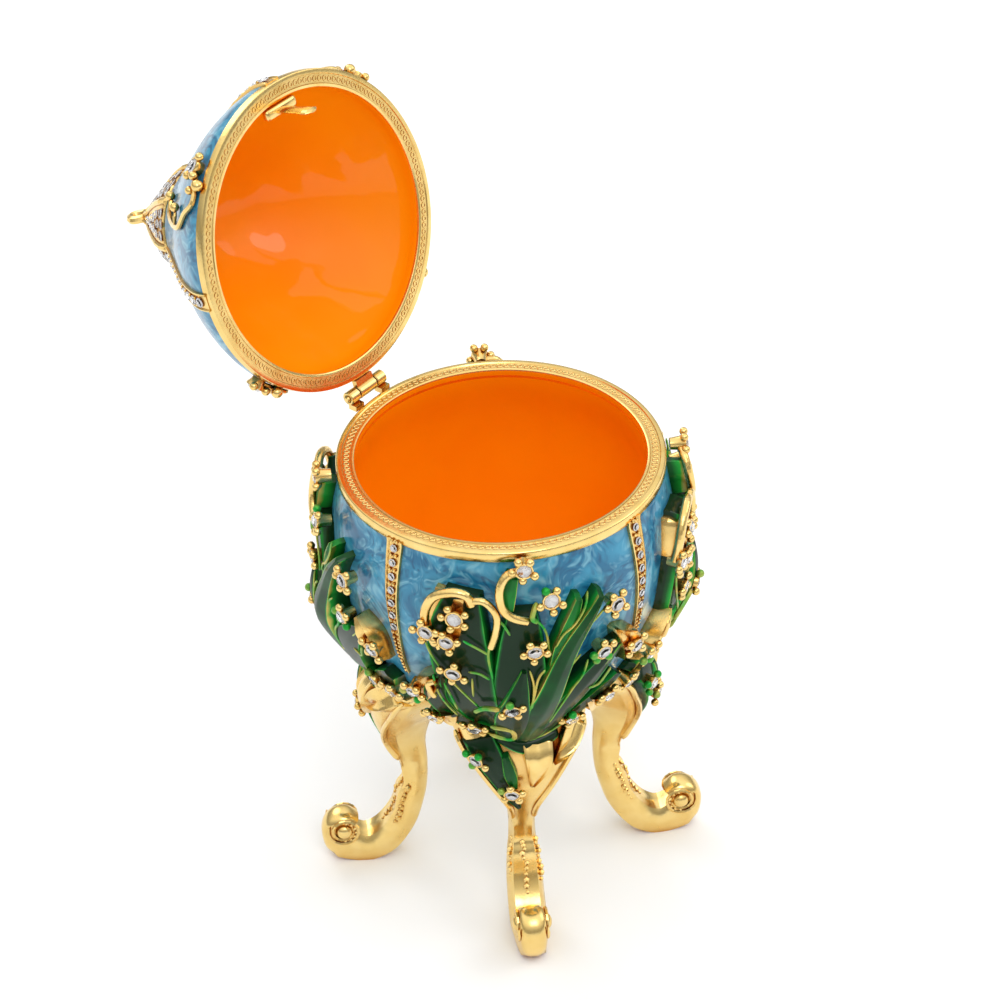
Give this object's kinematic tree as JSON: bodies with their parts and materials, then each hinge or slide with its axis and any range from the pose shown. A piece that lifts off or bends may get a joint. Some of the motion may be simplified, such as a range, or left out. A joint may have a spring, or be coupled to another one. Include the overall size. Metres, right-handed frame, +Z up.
{
  "type": "jewelled egg trinket box",
  "caption": "Egg-shaped enamelled trinket box standing open on curled leaf feet, with flower sprays and a hinged lid.",
  "frame": {"origin": "on the floor under the centre of the standing, open box", "axes": "+Z up, +Y towards the hinge, +X along the hinge pin"},
  "size_m": [0.0582, 0.1049, 0.1292],
  "materials": {
    "gilt": "satin",
    "blue_enamel": "gloss, pearly",
    "green_enamel": "gloss, translucent"
  },
  "bodies": {
    "base": {"bowl": "blue_enamel", "leg_front_left": "gilt", "leg_front_right": "gilt", "leg_back_right": "gilt", "leg_back_left": "gilt", "spray_front_left": "green_enamel", "spray_front_right": "green_enamel", "spray_back_right": "green_enamel", "spray_back_left": "green_enamel", "hinge_bowl": "gilt", "hinge_pin": "gilt"},
    "lid": {"lid": "blue_enamel", "sprig_front_left": "green_enamel", "sprig_front_right": "green_enamel", "sprig_back_right": "green_enamel", "sprig_back_left": "green_enamel", "crown": "gilt", "clasp_tongue": "gilt", "hinge_lid": "gilt"}
  },
  "joints": [
    {"name": "lid_hinge", "type": "hinge", "parent": "base", "child": "lid", "pos_m": [0, 0.00294, 0.07935], "axis": [1, 0, 0], "range_deg": [0, 107]}
  ]
}
